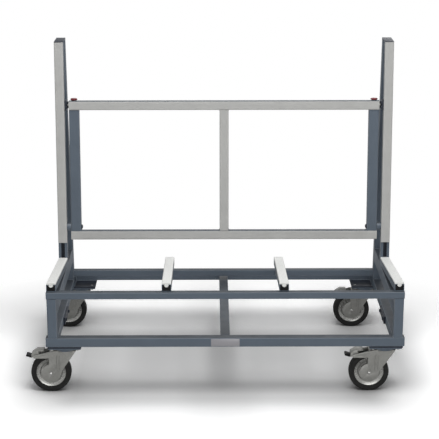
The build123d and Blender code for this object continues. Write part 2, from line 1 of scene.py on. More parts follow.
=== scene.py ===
import json
import math
import bpy
import bmesh
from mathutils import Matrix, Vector


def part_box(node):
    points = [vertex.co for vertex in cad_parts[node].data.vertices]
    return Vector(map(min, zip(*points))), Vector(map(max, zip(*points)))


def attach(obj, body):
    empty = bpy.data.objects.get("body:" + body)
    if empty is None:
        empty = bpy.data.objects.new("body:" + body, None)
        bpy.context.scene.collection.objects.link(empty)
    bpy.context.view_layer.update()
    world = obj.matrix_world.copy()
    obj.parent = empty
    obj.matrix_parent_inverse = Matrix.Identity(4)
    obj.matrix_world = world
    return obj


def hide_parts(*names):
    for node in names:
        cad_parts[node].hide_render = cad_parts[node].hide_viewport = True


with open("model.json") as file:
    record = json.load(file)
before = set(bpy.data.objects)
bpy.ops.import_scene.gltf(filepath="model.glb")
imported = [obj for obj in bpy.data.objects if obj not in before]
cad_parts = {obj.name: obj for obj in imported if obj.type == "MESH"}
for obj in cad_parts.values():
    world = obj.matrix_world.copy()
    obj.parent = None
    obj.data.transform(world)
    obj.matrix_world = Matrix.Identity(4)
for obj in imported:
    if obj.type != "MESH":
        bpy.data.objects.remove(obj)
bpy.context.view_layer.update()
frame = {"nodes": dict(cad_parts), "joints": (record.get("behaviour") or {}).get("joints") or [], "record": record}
nodes = frame["nodes"]
joints = {joint["name"]: joint for joint in frame["joints"]}
corners = ("front_left", "front_right", "rear_left", "rear_right")
mm = 0.001
print("frame loaded:", len(nodes), "nodes")


# camera, fitted to the photograph
shot = {"place": (-0.0157, -5.8116, 2.3997), "pitch": 16.787, "yaw": -0.4007, "lens": 112.515, "sensor": 36, "far": 60}
eye = bpy.data.cameras.new("photoCamera")
eye.lens = shot["lens"]
eye.sensor_width = shot["sensor"]
eye.clip_end = shot["far"]
eyeObject = bpy.data.objects.new("photoCamera", eye)
eyeObject.location = shot["place"]
eyeObject.rotation_euler = (math.radians(90 - shot["pitch"]), 0, math.radians(shot["yaw"]))
bpy.context.scene.collection.objects.link(eyeObject)
bpy.context.scene.camera = eyeObject
bpy.context.scene.view_settings.view_transform = "Standard"


# soft studio: even sky, a broad lamp high in front and one at eye height, a weak one behind
studio = {
    "sky": 0.13, "aim": (0, 0, 0.55),
    "overhead": {"place": (0.2, -1.5, 4.3), "size": 2.6, "power": 122},
    "front": {"place": (0.5, -5.6, 2.0), "size": 4.0, "power": 150},
    "behind": {"place": (0.8, 5.2, 2.6), "size": 3.5, "power": 45},
}


def aimLamp(name, look):
    lamp = bpy.data.lights.new(name, "AREA")
    lamp.shape = "DISK"
    lamp.size = look["size"]
    lamp.energy = look["power"]
    holder = bpy.data.objects.new(name, lamp)
    holder.location = look["place"]
    aim = Vector(studio["aim"]) - holder.location
    holder.rotation_euler = aim.to_track_quat("-Z", "Y").to_euler()
    bpy.context.scene.collection.objects.link(holder)


aimLamp("overheadLamp", studio["overhead"])
aimLamp("frontLamp", studio["front"])
aimLamp("behindLamp", studio["behind"])


# one maths node, fed by sockets or plain numbers
def mathStep(tree, operation, *values):
    step = tree.nodes.new("ShaderNodeMath")
    step.operation = operation
    for socket, value in zip(step.inputs, values):
        if isinstance(value, (int, float)):
            socket.default_value = value
        else:
            tree.links.new(value, socket)
    return step.outputs[0]


# 1 on camera, glossy and transmission rays, else 0
def seenRays(tree):
    path = tree.nodes.new("ShaderNodeLightPath").outputs
    pair = mathStep(tree, "MAXIMUM", path["Is Camera Ray"], path["Is Glossy Ray"])
    return mathStep(tree, "MAXIMUM", pair, path["Is Transmission Ray"])


sky = bpy.data.worlds.new("studioSky")
sky.use_nodes = True
bpy.context.scene.world = sky
skyTree = sky.node_tree
skyTree.nodes.clear()
skyOut = skyTree.nodes.new("ShaderNodeOutputWorld")
skyLight = skyTree.nodes.new("ShaderNodeBackground")
skySeen = skyTree.nodes.new("ShaderNodeBackground")
skyMix = skyTree.nodes.new("ShaderNodeMixShader")
skyLight.inputs["Strength"].default_value = studio["sky"]
skyLight.inputs["Color"].default_value = (1, 1, 1, 1)
skySeen.inputs["Color"].default_value = (1, 1, 1, 1)
skyTree.links.new(seenRays(skyTree), skyMix.inputs[0])
skyTree.links.new(skyLight.outputs[0], skyMix.inputs[1])
skyTree.links.new(skySeen.outputs[0], skyMix.inputs[2])
skyTree.links.new(skyMix.outputs[0], skyOut.inputs[0])
print("camera and studio set")


# finishes

def newFinish(name):
    finish = bpy.data.materials.new(name)
    finish.use_nodes = True
    tree = finish.node_tree
    tree.nodes.clear()
    out = tree.nodes.new("ShaderNodeOutputMaterial")
    shader = tree.nodes.new("ShaderNodeBsdfPrincipled")
    tree.links.new(shader.outputs[0], out.inputs[0])
    return finish, tree, shader


def noise(tree, scale, detail, stretch=(1, 1, 1)):
    place = tree.nodes.new("ShaderNodeTexCoord")
    turn = tree.nodes.new("ShaderNodeMapping")
    turn.inputs["Scale"].default_value = stretch
    field = tree.nodes.new("ShaderNodeTexNoise")
    field.inputs["Scale"].default_value = scale
    field.inputs["Detail"].default_value = detail
    tree.links.new(place.outputs["Object"], turn.inputs["Vector"])
    tree.links.new(turn.outputs[0], field.inputs["Vector"])
    return field.outputs["Fac"]


def cells(tree, scale):
    place = tree.nodes.new("ShaderNodeTexCoord")
    field = tree.nodes.new("ShaderNodeTexVoronoi")
    field.inputs["Scale"].default_value = scale
    tree.links.new(place.outputs["Object"], field.inputs["Vector"])
    return field


def ramp(tree, fac, stops):
    band = tree.nodes.new("ShaderNodeValToRGB")
    steps = band.color_ramp.elements
    while len(steps) < len(stops):
        steps.new(0.5)
    for step, (place, colour) in zip(steps, stops):
        step.position = place
        step.color = (*colour, 1)
    tree.links.new(fac, band.inputs[0])
    return band.outputs[0]


def spread(tree, fac, low, high, start=0.3, end=0.7):
    span = tree.nodes.new("ShaderNodeMapRange")
    span.inputs["From Min"].default_value = start
    span.inputs["From Max"].default_value = end
    span.inputs["To Min"].default_value = low
    span.inputs["To Max"].default_value = high
    tree.links.new(fac, span.inputs["Value"])
    return span.outputs[0]


def mixColour(tree, fac, first, second):
    blendNode = tree.nodes.new("ShaderNodeMix")
    blendNode.data_type = "RGBA"
    tree.links.new(fac, blendNode.inputs[0])
    for socket, value in ((blendNode.inputs[6], first), (blendNode.inputs[7], second)):
        if isinstance(value, tuple):
            socket.default_value = (*value, 1)
        else:
            tree.links.new(value, socket)
    return blendNode.outputs[2]


def bump(tree, shader, height, strength, depth):
    dent = tree.nodes.new("ShaderNodeBump")
    dent.inputs["Strength"].default_value = strength
    dent.inputs["Distance"].default_value = depth
    tree.links.new(height, dent.inputs["Height"])
    tree.links.new(dent.outputs[0], shader.inputs["Normal"])


def normalAxes(tree):
    axes = tree.nodes.new("ShaderNodeSeparateXYZ")
    tree.links.new(tree.nodes.new("ShaderNodeTexCoord").outputs["Normal"], axes.inputs[0])
    return axes.outputs


# 0 on sides, 1 on what faces up as the piece stands
def upFacing(tree, start=0.55, end=0.95):
    return spread(tree, normalAxes(tree)["Z"], 0, 1, start, end)


# 0 on flat faces along the axes, 1 on rounded edges between them
def edgeFacing(tree, start=0.05, end=0.25):
    axes = normalAxes(tree)
    sizes = [mathStep(tree, "ABSOLUTE", axes[axis]) for axis in ("X", "Y", "Z")]
    most = mathStep(tree, "MAXIMUM", mathStep(tree, "MAXIMUM", sizes[0], sizes[1]), sizes[2])
    return spread(tree, most, 1, 0, 1 - end, 1 - start)


def shade(colour, factor):
    return tuple(min(1, c * factor) for c in colour)


# one call for each finish: mottled colour, uneven roughness, a fine surface, a tone of its own on what faces up
# (painted shade on the frame paint, painted light on the support strips) and a painted highlight on rounded edges
finishForm = {"mottleDetail": 4, "mottleSpan": (0.3, 0.7), "dustScale": 6, "dustDetail": 5, "roughScale": 2.7,
              "roughDetail": 3, "grainDetail": 2}


def plainFinish(name, look):
    finish, tree, shader = newFinish(name)
    vary = look["vary"]
    if "spangle" in look:
        flakes = cells(tree, look["spangle"])
        tone = tree.nodes.new("ShaderNodeSeparateColor")
        tree.links.new(flakes.outputs["Color"], tone.inputs[0])
        mottle = tone.outputs[0]
    else:
        mottle = noise(tree, look["mottle"], finishForm["mottleDetail"], look.get("stretch", (1, 1, 1)))
    low, high = finishForm["mottleSpan"]
    tint = ramp(tree, mottle, ((low, shade(look["colour"], 1 - vary)), (high, shade(look["colour"], 1 + vary))))
    # what faces up is mixed towards a tone of its own by a noise: painted shade on the frame paint, painted light on
    # the support strips, paler tops on the black plastic
    if "dust" in look:
        patches = noise(tree, finishForm["dustScale"], finishForm["dustDetail"])
        topShare = mathStep(tree, "MULTIPLY", upFacing(tree), spread(tree, patches, *look["dusty"]))
        tint = mixColour(tree, topShare, tint, look["dust"])
    # painted highlight: rounded edges are mixed towards a paler colour
    if "edge" in look:
        tint = mixColour(tree, edgeFacing(tree), tint, look["edge"])
    tree.links.new(tint, shader.inputs["Base Color"])
    worn = noise(tree, look["mottle"] * finishForm["roughScale"], finishForm["roughDetail"])
    tree.links.new(spread(tree, worn, *look["rough"]), shader.inputs["Roughness"])
    shader.inputs["Metallic"].default_value = look.get("metal", 0)
    shader.inputs["Specular IOR Level"].default_value = look.get("specular", 0.5)
    fine = noise(tree, look["grain"], finishForm["grainDetail"], look.get("stretch", (1, 1, 1)))
    bump(tree, shader, fine, look["bump"], look["depth"])
    return finish


# frame paint: the darker, greyer tone on what faces up is painted shade, and the paler edge colour is a painted
# highlight
framePaint = {"colour": (0.083, 0.103, 0.128), "vary": 0.05, "mottle": 9, "rough": (0.5, 0.6), "specular": 0.15,
              "grain": 700, "bump": 0.22, "depth": 0.0006, "dust": (0.045, 0.05, 0.057), "dusty": (0.6, 0.9),
              "edge": (0.15, 0.17, 0.195)}
platePaint = {"colour": (0.018, 0.022, 0.031), "vary": 0.1, "mottle": 14, "rough": (0.5, 0.6), "specular": 0.18,
              "grain": 800, "bump": 0.2, "depth": 0.0006}
# support strips: pale on what faces up and greyer on the sides and ends, as painted light and shade
supportPad = {"colour": (0.58, 0.585, 0.565), "vary": 0.05, "mottle": 20, "rough": (0.5, 0.65), "specular": 0.2,
              "grain": 1400, "bump": 0.12, "depth": 0.0005, "dust": (0.86, 0.865, 0.845), "dusty": (0.93, 1.0)}
backPad = {"colour": (0.37, 0.37, 0.36), "vary": 0.03, "mottle": 16, "rough": (0.55, 0.7), "specular": 0.2,
           "grain": 1400, "bump": 0.15, "depth": 0.0005}
blackPlastic = {"colour": (0.007, 0.007, 0.0075), "vary": 0.2, "mottle": 30, "rough": (0.5, 0.65), "specular": 0.06,
                "grain": 1600, "bump": 0.25, "depth": 0.0004, "dust": (0.045, 0.045, 0.047), "dusty": (0.8, 1.0)}
zinc = {"colour": (0.2, 0.2, 0.188), "vary": 0.04, "mottle": 38, "spangle": 140, "rough": (0.42, 0.56), "metal": 0.55,
        "grain": 1200, "bump": 0.1, "depth": 0.0004}
brightSteel = {"colour": (0.34, 0.34, 0.33), "vary": 0.08, "mottle": 60, "rough": (0.2, 0.34), "metal": 1,
               "grain": 1800, "bump": 0.06, "depth": 0.0003}
rimGrey = {"colour": (0.25, 0.25, 0.238), "vary": 0.06, "mottle": 30, "rough": (0.24, 0.32), "metal": 0.62,
           "grain": 1400, "bump": 0.1, "depth": 0.0004}
tyreRubber = {"colour": (0.011, 0.011, 0.0105), "vary": 0.25, "mottle": 26, "rough": (0.62, 0.8), "specular": 0.16,
              "grain": 1500, "bump": 0.3, "depth": 0.0006}
knobRed = {"colour": (0.13, 0.012, 0.016), "vary": 0.1, "mottle": 40, "rough": (0.35, 0.45), "specular": 0.3,
           "grain": 1600, "bump": 0.08, "depth": 0.0003}
labelMetal = {"colour": (0.2, 0.198, 0.21), "vary": 0.05, "mottle": 22, "stretch": (0.08, 1, 1), "rough": (0.36, 0.48),
              "metal": 0.4, "grain": 900, "bump": 0.1, "depth": 0.0003}

finishes = {
    "frame_paint": plainFinish("framePaint", framePaint),
    "plate_paint": plainFinish("platePaint", platePaint),
    "support_pad": plainFinish("supportPad", supportPad),
    "back_pad": plainFinish("backPad", backPad),
    "black_plastic": plainFinish("blackPlastic", blackPlastic),
    "zinc": plainFinish("zinc", zinc),
    "bright_steel": plainFinish("brightSteel", brightSteel),
    "rim": plainFinish("rimGrey", rimGrey),
    "tyre": plainFinish("tyreRubber", tyreRubber),
    "knob_red": plainFinish("knobRed", knobRed),
    "label_plate": plainFinish("labelMetal", labelMetal),
}
slotOf = {part["node"]: part["material_slot"] for part in frame["record"]["subparts"]}
for node, slot in slotOf.items():
    skin = nodes[node].data.materials
    skin.clear()
    skin.append(finishes[slot])
print("finishes on the frame:", len(finishes))


# pieces

def addPiece(name, mesh, body, slot, stands=()):
    piece = bpy.data.objects.new(name, mesh)
    bpy.context.scene.collection.objects.link(piece)
    mesh.materials.clear()
    mesh.materials.append(finishes[slot])
    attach(piece, body)
    if stands:
        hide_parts(*stands)


def smoothMesh(mesh, angle):
    mesh.polygons.foreach_set("use_smooth", [True] * len(mesh.polygons))
    mesh.set_sharp_from_angle(angle=math.radians(angle))
    mesh.update()


# rings of points joined one to the next, with a face over each end
def loft(rings, first=0):
    count = len(rings[0])
    faces = []
    for low in range(len(rings) - 1):
        here = first + low * count
        for step in range(count):
            ahead = (step + 1) % count
            faces.append((here + step, here + ahead, here + count + ahead, here + count + step))
    last = first + (len(rings) - 1) * count
    faces.append(tuple(first + step for step in range(count))[::-1])
    faces.append(tuple(last + step for step in range(count)))
    return [point for ring in rings for point in ring], faces


# a mesh with its faces turned outward, cut to triangles where they have too many corners
def closedMesh(name, points, faces, smooth=0, merge=0, mostCorners=0):
    mesh = bpy.data.meshes.new(name)
    mesh.from_pydata(points, [], faces)
    work = bmesh.new()
    work.from_mesh(mesh)
    if merge:
        bmesh.ops.remove_doubles(work, verts=work.verts, dist=merge)
    bmesh.ops.recalc_face_normals(work, faces=work.faces)
    if mostCorners:
        bmesh.ops.triangulate(work, faces=[face for face in work.faces if len(face.verts) > mostCorners])
    work.to_mesh(mesh)
    work.free()
    if smooth:
        smoothMesh(mesh, smooth)
    return mesh


# plain mesh of a temporary object with its modifiers, and the object is gone
def bakeMesh(holder, name):
    bpy.context.view_layer.update()
    ready = holder.evaluated_get(bpy.context.evaluated_depsgraph_get())
    mesh = bpy.data.meshes.new_from_object(ready)
    mesh.name = name
    source = holder.data
    bpy.data.objects.remove(holder)
    bpy.data.meshes.remove(source)
    return mesh


# a CAD node's shape with its sharp edges rounded off
softening = {"merge": 0.00001, "flatTo": 1, "sharpFrom": 40, "segments": 2, "smooth": 35}


def softCopy(node, width):
    mesh = nodes[node].data.copy()
    work = bmesh.new()
    work.from_mesh(mesh)
    bmesh.ops.remove_doubles(work, verts=work.verts, dist=softening["merge"])
    bmesh.ops.dissolve_limit(work, angle_limit=math.radians(softening["flatTo"]), verts=work.verts, edges=work.edges)
    work.to_mesh(mesh)
    work.free()
    holder = bpy.data.objects.new("softening", mesh)
    bpy.context.scene.collection.objects.link(holder)
    edge = holder.modifiers.new("edge", "BEVEL")
    edge.width = width * mm
    edge.segments = softening["segments"]
    edge.limit_method = "ANGLE"
    edge.angle_limit = math.radians(softening["sharpFrom"])
    edge.use_clamp_overlap = True
    soft = bakeMesh(holder, node + "_soft")
    smoothMesh(soft, softening["smooth"])
    return soft


# a closed outline of (radius, along) in millimetres, turned round an axis
turning = {"merge": 0.000001, "smooth": 30}


def turned(name, outline, centre, axis, steps, wave=None):
    along = Vector(axis).normalized()
    side = along.orthogonal().normalized()
    up = along.cross(side)
    points = []
    faces = []
    count = len(outline)
    for step in range(steps):
        angle = 2 * math.pi * step / steps
        out = side * math.cos(angle) + up * math.sin(angle)
        for radius, height in outline:
            reach = radius * (wave(angle, radius) if wave else 1)
            points.append(Vector(centre) + out * reach * mm + along * height * mm)
    for step in range(steps):
        here = step * count
        ahead = (step + 1) % steps * count
        for spot in range(count):
            nextSpot = (spot + 1) % count
            faces.append((here + spot, ahead + spot, ahead + nextSpot, here + nextSpot))
    return closedMesh(name, points, faces, turning["smooth"], turning["merge"])


def mirrored(halfOutline):
    return halfOutline + [(radius, -height) for radius, height in reversed(halfOutline)]


# wheels: pressed rim with a dished face, rubber tyre with shallow grooves
wheel = {
    "rim": [(6.05, 23), (11, 23), (12, 22.3), (18.6, 21.8), (20, 20.6), (20, 12.8), (22, 11.2), (25, 10.6), (28, 10.2),
            (30, 10.2), (32, 10.6), (39.5, 10.4), (41.8, 10.2), (43.2, 9.8), (44.4, 10), (45.4, 11), (46.6, 12),
            (48, 12.4), (55, 13.4), (56.4, 13.8), (60.8, 15.7), (61.6, 16.1), (62.2, 16), (62.5, 15)],
    "tyre": [(62.55, 16.6), (63.7, 18.2), (66, 19), (67.6, 19.9), (71, 19.9), (72.2, 19.2), (76.4, 19.8), (80, 20),
             (82.7, 19), (84.4, 16.8), (85.1, 14), (85.2, 12.4), (84.3, 12), (84.3, 10.8), (85.3, 10.4), (85.5, 6.6),
             (84.6, 6.2), (84.6, 5), (85.5, 4.6)],
    "steps": 128,
}
for corner in corners:
    centre = joints["roll_" + corner]["pos_m"]
    rim = turned("rim_" + corner, mirrored(wheel["rim"]), centre, (0, 1, 0), wheel["steps"])
    addPiece("wheel_dish_" + corner, rim, "wheel_" + corner, "rim", ["wheel_rim_" + corner])
    tyre = turned("tyre_" + corner, mirrored(wheel["tyre"]), centre, (0, 1, 0), wheel["steps"])
    addPiece("wheel_tyre_" + corner, tyre, "wheel_" + corner, "tyre", ["tyre_" + corner])
print("wheels turned")


# plates, caps, forks and pedals with their edges broken
softEdge = {
    "mounting_plates": 1.0, "caster_plates": 0.8, "side_plates": 1.0, "latch_plates": 0.8, "upright_caps": 0.8,
    "rail_end_caps": 1.4, "pivot_lugs": 0.8, "label_plate": 0.35,
}
for node, width in softEdge.items():
    addPiece("soft_" + node, softCopy(node, width), "frame", slotOf[node], [node])
casterEdge = (("soft_fork_", "fork_", 1.4, "caster_", "zinc"), ("soft_pedal_", "brake_pedal_", 0.9, "pedal_", "zinc"),
              ("soft_pad_", "pedal_pad_", 1.2, "pedal_", "black_plastic"))
for corner in corners:
    for name, node, width, body, slot in casterEdge:
        addPiece(name + corner, softCopy(node + corner, width), body + corner, slot, [node + corner])
print("edges softened")


# geometry nodes

def newTree(name, sockets):
    tree = bpy.data.node_groups.new(name, "GeometryNodeTree")
    tree.interface.new_socket("Geometry", in_out="INPUT", socket_type="NodeSocketGeometry")
    for label, kind in sockets:
        tree.interface.new_socket(label, in_out="INPUT", socket_type=kind)
    tree.interface.new_socket("Geometry", in_out="OUTPUT", socket_type="NodeSocketGeometry")
    return tree, tree.nodes.new("NodeGroupInput"), tree.nodes.new("NodeGroupOutput")


def socketId(tree, label):
    return next(s.identifier for s in tree.interface.items_tree if s.name == label and s.in_out == "INPUT")


treeSmooth = 40


def runTree(name, mesh, tree, values):
    holder = bpy.data.objects.new(name, mesh)
    bpy.context.scene.collection.objects.link(holder)
    step = holder.modifiers.new(name, "NODES")
    step.node_group = tree
    for label, value in values.items():
        step[socketId(tree, label)] = value
    result = bakeMesh(holder, name)
    smoothMesh(result, treeSmooth)
    return result


# one shape set on every point, its Z along the point's "facing", turned at random about it
def makeSpotTree():
    tree, start, end = newTree("shapeOnSpots", (("Shape", "NodeSocketObject"), ("Turn Seed", "NodeSocketInt"),
                                                ("Turn Most", "NodeSocketFloat"), ("Finish", "NodeSocketMaterial")))
    link = tree.links.new
    shape = tree.nodes.new("GeometryNodeObjectInfo")
    facing = tree.nodes.new("GeometryNodeInputNamedAttribute")
    facing.data_type = "FLOAT_VECTOR"
    facing.inputs["Name"].default_value = "facing"
    align = tree.nodes.new("FunctionNodeAlignRotationToVector")
    align.axis = "Z"
    chance = tree.nodes.new("FunctionNodeRandomValue")
    chance.data_type = "FLOAT"
    turn = tree.nodes.new("FunctionNodeAxisAngleToRotation")
    both = tree.nodes.new("FunctionNodeRotateRotation")
    both.rotation_space = "LOCAL"
    place = tree.nodes.new("GeometryNodeInstanceOnPoints")
    real = tree.nodes.new("GeometryNodeRealizeInstances")
    skin = tree.nodes.new("GeometryNodeSetMaterial")
    link(start.outputs["Shape"], shape.inputs["Object"])
    link(start.outputs["Turn Seed"], chance.inputs["Seed"])
    link(start.outputs["Turn Most"], chance.inputs[3])
    link(facing.outputs[0], align.inputs["Vector"])
    link(chance.outputs[1], turn.inputs["Angle"])
    link(align.outputs[0], both.inputs["Rotation"])
    link(turn.outputs[0], both.inputs["Rotate By"])
    link(start.outputs["Geometry"], place.inputs["Points"])
    link(shape.outputs["Geometry"], place.inputs["Instance"])
    link(both.outputs[0], place.inputs["Rotation"])
    link(place.outputs[0], real.inputs[0])
    link(real.outputs[0], skin.inputs["Geometry"])
    link(start.outputs["Finish"], skin.inputs["Material"])
    link(skin.outputs[0], end.inputs["Geometry"])
    return tree


spotTree = makeSpotTree()


def onSpots(name, spots, shape, slot, seed=1, turnMost=1.0):
    mesh = bpy.data.meshes.new(name + "_spots")
    mesh.from_pydata([spot for spot, facing in spots], [], [])
    facing = mesh.attributes.new("facing", "FLOAT_VECTOR", "POINT")
    for value, (spot, way) in zip(facing.data, spots):
        value.vector = way
    values = {"Shape": shape, "Turn Seed": seed, "Turn Most": float(turnMost), "Finish": finishes[slot]}
    return runTree(name, mesh, spotTree, values)


# hex bolt, head up from Z = 0, washer under it and shank below
hexForm = {"steps": 36, "tip": 0.8, "tipHeight": 0.8, "neck": 0.2, "dropFrom": 0.97, "drop": 0.6, "crown": 0.94,
           "smooth": 25}


def hexBolt(look):
    sixth = math.pi / 6
    flat = look["head"] * math.cos(sixth)
    shank, foot, washer, washerTop = look["shank"], -look["length"], look["washer"], look["washerHeight"]
    columns = []
    for step in range(hexForm["steps"]):
        angle = 2 * math.pi * step / hexForm["steps"]
        corner = flat / math.cos((angle + sixth) % (2 * sixth) - sixth)
        drop = (corner - flat * hexForm["dropFrom"]) * hexForm["drop"]
        outline = ((shank * hexForm["tip"], foot), (shank, foot + hexForm["tipHeight"]), (shank, 0), (washer, 0),
                   (washer, washerTop), (corner, washerTop), (corner, washerTop + hexForm["neck"]),
                   (corner, look["height"] - drop), (flat * hexForm["crown"], look["height"]))
        columns.append([Vector((math.cos(angle) * reach, math.sin(angle) * reach, height)) * mm
                        for reach, height in outline])
    mesh = closedMesh("hexBolt", *loft(list(zip(*columns))), hexForm["smooth"])
    return bpy.data.objects.new("hexBolt", mesh)


# boxes of a CAD node's loose solids, by groups of touching vertices
def looseBoxes(node):
    work = bmesh.new()
    work.from_mesh(nodes[node].data)
    bmesh.ops.remove_doubles(work, verts=work.verts, dist=softening["merge"])
    boxes = []
    seen = set()
    for first in work.verts:
        if first in seen:
            continue
        group = [first]
        seen.add(first)
        for vert in group:
            for edge in vert.link_edges:
                other = edge.other_vert(vert)
                if other not in seen:
                    seen.add(other)
                    group.append(other)
        low = Vector([min(v.co[axis] for v in group) for axis in range(3)])
        high = Vector([max(v.co[axis] for v in group) for axis in range(3)])
        boxes.append((low, high))
    work.free()
    return boxes


casterBolt = {"head": 8.6, "height": 7.8, "washer": 9.6, "washerHeight": 1.4, "shank": 5, "length": 13.8, "plate": 7,
              "seed": 3}
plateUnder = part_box("mounting_plates")[0].z - casterBolt["plate"] * mm
boltSpots = []
for low, high in looseBoxes("plate_bolts"):
    boltSpots.append((Vector(((low.x + high.x) / 2, (low.y + high.y) / 2, plateUnder)), Vector((0, 0, -1))))
bolts = onSpots("caster_plate_bolts", boltSpots, hexBolt(casterBolt), "bright_steel", casterBolt["seed"])
addPiece("caster_plate_bolts", bolts, "frame", "bright_steel", ["plate_bolts"])

bracketBolt = {"head": 7.2, "height": 6, "washer": 8, "washerHeight": 1, "shank": 4, "length": 6, "plate": 5,
               "seed": 5}
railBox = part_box("front_lower_rail")
middle = (railBox[0].x + railBox[1].x) / 2
bracketSpots = []
for low, high in looseBoxes("bracket_bolts"):
    seat = (low + high) / 2
    hand = -1 if seat.x < middle else 1
    seat.x = (high.x if hand < 0 else low.x) + hand * bracketBolt["plate"] * mm
    bracketSpots.append((seat, Vector((-hand, 0, 0))))
screws = onSpots("bracket_screws", bracketSpots, hexBolt(bracketBolt), "plate_paint", bracketBolt["seed"])
addPiece("bracket_screws", screws, "frame", "plate_paint", ["bracket_bolts"])

axlePin = {"outline": [(0, 32.4), (2.4, 32.2), (4.4, 31.6), (5.9, 30.6), (6.7, 29.6), (7, 28.5), (6, 28.5), (6, 0)],
           "steps": 48}
for corner in corners:
    centre = joints["roll_" + corner]["pos_m"]
    pin = turned("axle_" + corner, mirrored(axlePin["outline"]), centre, (0, 1, 0), axlePin["steps"])
    addPiece("axle_domes_" + corner, pin, "caster_" + corner, "bright_steel", ["axle_" + corner])
print("bolts set:", len(boltSpots) + len(bracketSpots), "and", len(corners), "axles")


# weld beads along the inner corners of the tubes
weld = {"radius": 2.6, "pitch": 2.6, "step": 1.1, "ripple": 0.32, "waist": 0.94, "roughScale": 220, "sides": 10}


def makeBeadTree():
    tree, start, end = newTree("weldBead", (("Radius", "NodeSocketFloat"), ("Step", "NodeSocketFloat"),
                                            ("Pitch", "NodeSocketFloat"), ("Ripple", "NodeSocketFloat"),
                                            ("Finish", "NodeSocketMaterial")))
    link = tree.links.new
    path = tree.nodes.new("GeometryNodeMeshToCurve")
    even = tree.nodes.new("GeometryNodeResampleCurve")
    even.mode = "LENGTH"
    along = tree.nodes.new("GeometryNodeSplineParameter")
    rough = tree.nodes.new("ShaderNodeTexNoise")
    rough.inputs["Scale"].default_value = weld["roughScale"]
    turns = mathStep(tree, "DIVIDE", along.outputs["Length"], start.outputs["Pitch"])
    wave = mathStep(tree, "SINE", mathStep(tree, "MULTIPLY", turns, 2 * math.pi))
    lump = mathStep(tree, "MULTIPLY", wave, rough.outputs[0])
    size = mathStep(tree, "MULTIPLY_ADD", lump, start.outputs["Ripple"], weld["waist"])
    ring = tree.nodes.new("GeometryNodeCurvePrimitiveCircle")
    ring.inputs["Resolution"].default_value = weld["sides"]
    sweep = tree.nodes.new("GeometryNodeCurveToMesh")
    sweep.inputs["Fill Caps"].default_value = True
    real = tree.nodes.new("GeometryNodeRealizeInstances")
    skin = tree.nodes.new("GeometryNodeSetMaterial")
    link(start.outputs["Geometry"], path.inputs["Mesh"])
    link(path.outputs[0], even.inputs["Curve"])
    link(start.outputs["Step"], even.inputs["Length"])
    link(start.outputs["Radius"], ring.inputs["Radius"])
    link(even.outputs[0], sweep.inputs["Curve"])
    link(ring.outputs[0], sweep.inputs["Profile Curve"])
    link(size, sweep.inputs["Scale"])
    link(sweep.outputs[0], real.inputs[0])
    link(real.outputs[0], skin.inputs["Geometry"])
    link(start.outputs["Finish"], skin.inputs["Material"])
    link(skin.outputs[0], end.inputs["Geometry"])
    return tree


beadTree = makeBeadTree()


def beads(name, paths, body):
    points = []
    edges = []
    for path in paths:
        first = len(points)
        points += path
        edges += [(first + k, first + k + 1) for k in range(len(path) - 1)]
    mesh = bpy.data.meshes.new(name + "_paths")
    mesh.from_pydata(points, edges, [])
    values = {"Radius": weld["radius"] * mm, "Step": weld["step"] * mm, "Pitch": weld["pitch"] * mm,
              "Ripple": weld["ripple"], "Finish": finishes["frame_paint"]}
    addPiece(name, runTree(name, mesh, beadTree, values), body, "frame_paint")


def spot(x, y, z):
    return Vector((middle + x * mm, railBox[0].y + y * mm, z))


# where the frame is welded: tube sizes, faces, what stays free at the ends, and heights read from the nodes
joins = {"inner": 705, "outer": 745, "rail": 40, "smallRail": 30, "free": 4, "short": 3, "postLean": 3.5,
         "plateFrom": 608, "plateDepth": 88}
lowTop = railBox[1].z
lowFoot = railBox[0].z
depth = (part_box("rear_lower_rail")[1].y - railBox[0].y) / mm
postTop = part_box("front_posts")[1].z
sideFoot, sideTop = (corner.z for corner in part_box("upper_side_rails"))
crossLow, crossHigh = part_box("rear_cross_rail")
postLean = math.radians(joins["postLean"])
crossFront = (crossLow.y - railBox[0].y) / mm
crossHalf = (crossLow.z + crossHigh.z) / 2


# how far back the front of a leaning rear post is at a height
def postFront(z):
    return crossFront + (crossHalf - z) / mm * math.tan(postLean)


framePaths = []
rail, smallRail, free, short = joins["rail"], joins["smallRail"], joins["free"], joins["short"]
freeEnd = free * mm
for hand in (-1, 1):
    x = hand * joins["inner"]
    outer = hand * joins["outer"]
    for y in (rail, depth - rail):
        for face in (x, hand * rail / 2):
            framePaths.append([spot(face, y, lowFoot + freeEnd), spot(face, y, lowTop - freeEnd)])
    framePaths.append([spot(x, free, lowTop), spot(x, rail - free, lowTop)])
    framePaths.append([spot(x, free, postTop), spot(x, smallRail - short, postTop)])
    framePaths.append([spot(x + hand * short, smallRail, postTop), spot(outer - hand * short, smallRail, postTop)])
    postFoot = postFront(lowTop)
    ends = [(y, z) for z in (sideTop, sideFoot) for y in (rail, postFront(z))]
    ends += [(postFoot, lowTop), (postFoot + rail / math.cos(postLean), lowTop)]
    for y, z in ends:
        framePaths.append([spot(x + hand * free, y, z), spot(outer - hand * free, y, z)])
    crossBack = crossFront + smallRail
    framePaths.append([spot(x, crossFront + free, crossHigh.z), spot(x, crossBack, crossHigh.z - freeEnd),
                       spot(x, crossBack, crossLow.z + freeEnd), spot(x, crossFront + free, crossLow.z)])
    for y, way in ((rail, 1), (depth - rail, -1)):
        framePaths.append([spot(hand * joins["plateFrom"], y, lowFoot), spot(x - hand * short, y, lowFoot)])
        framePaths.append([spot(x, y + way * short, lowFoot), spot(x, y + way * joins["plateDepth"], lowFoot)])
beads("frame_welds", framePaths, "frame")
print("frame welds:", len(framePaths))


